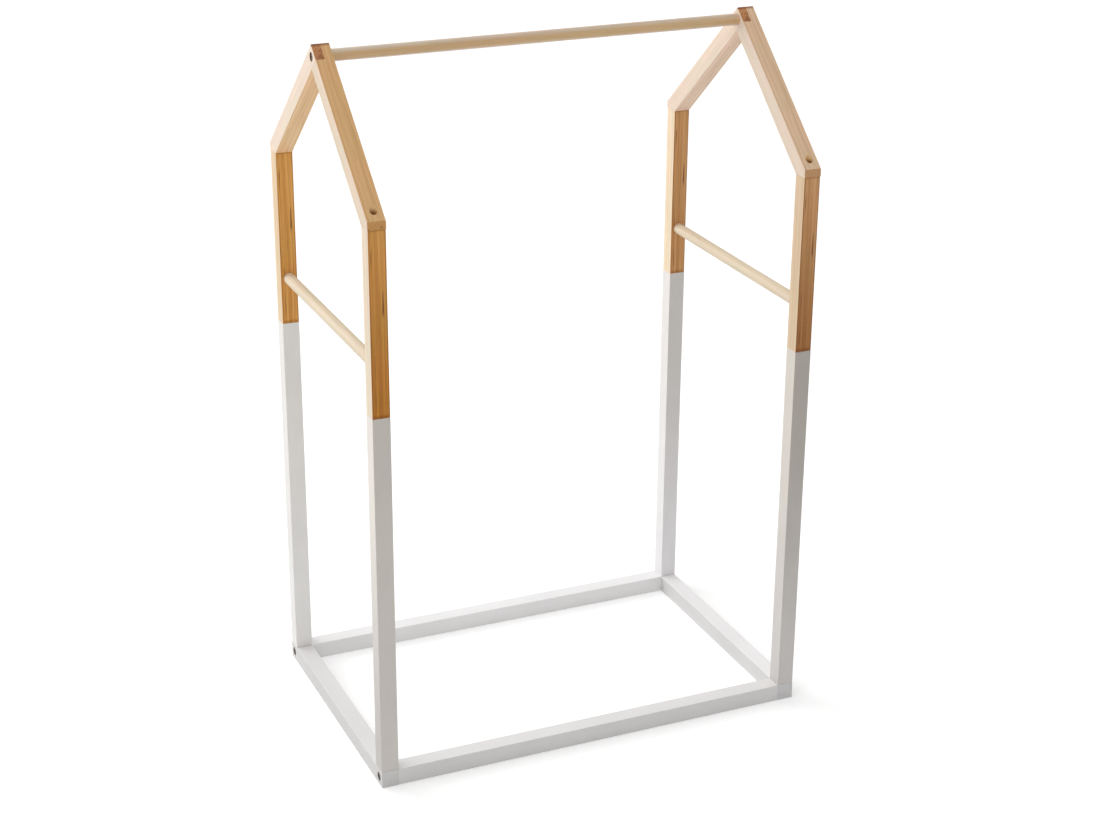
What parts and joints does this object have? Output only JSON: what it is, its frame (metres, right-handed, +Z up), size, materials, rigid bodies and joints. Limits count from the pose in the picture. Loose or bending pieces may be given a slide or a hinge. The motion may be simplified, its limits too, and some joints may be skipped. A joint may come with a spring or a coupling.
{
  "type": "open frame wardrobe",
  "caption": "House-shaped open frame wardrobe of square pine sticks, bare above and painted white below, with a round hanging rail along the ridge and a cross dowel in each gable.",
  "frame": {"origin": "on the floor, at the centre of the base", "axes": "+X from the left gable to the right gable along the hanging rail, +Y from front to rear, +Z up"},
  "size_m": [0.78, 0.5, 1.201],
  "materials": {
    "bare_pine": "planed pine, clear matt",
    "dipped_pine": "planed pine, bare at the top and painted white from below the cross dowel down",
    "white_pine": "pine painted white, satin",
    "zinc_steel": "zinc plated"
  },
  "bodies": {
    "root": {"left_side_rail": "white_pine", "right_side_rail": "white_pine", "front_rail": "white_pine", "rear_rail": "white_pine", "left_front_post": "dipped_pine", "left_rear_post": "dipped_pine", "right_front_post": "dipped_pine", "right_rear_post": "dipped_pine", "left_front_rafter": "bare_pine", "left_rear_rafter": "bare_pine", "right_front_rafter": "bare_pine", "right_rear_rafter": "bare_pine", "left_cross_dowel": "bare_pine", "right_cross_dowel": "bare_pine", "ridge_rail": "bare_pine", "post_pins": "bare_pine", "rail_pins": "bare_pine", "corner_bolts": "zinc_steel", "corner_barrel_nuts": "zinc_steel", "ridge_bolts": "zinc_steel", "ridge_inserts": "zinc_steel", "rafter_screws": "zinc_steel", "post_screws": "zinc_steel"}
  },
  "joints": []
}
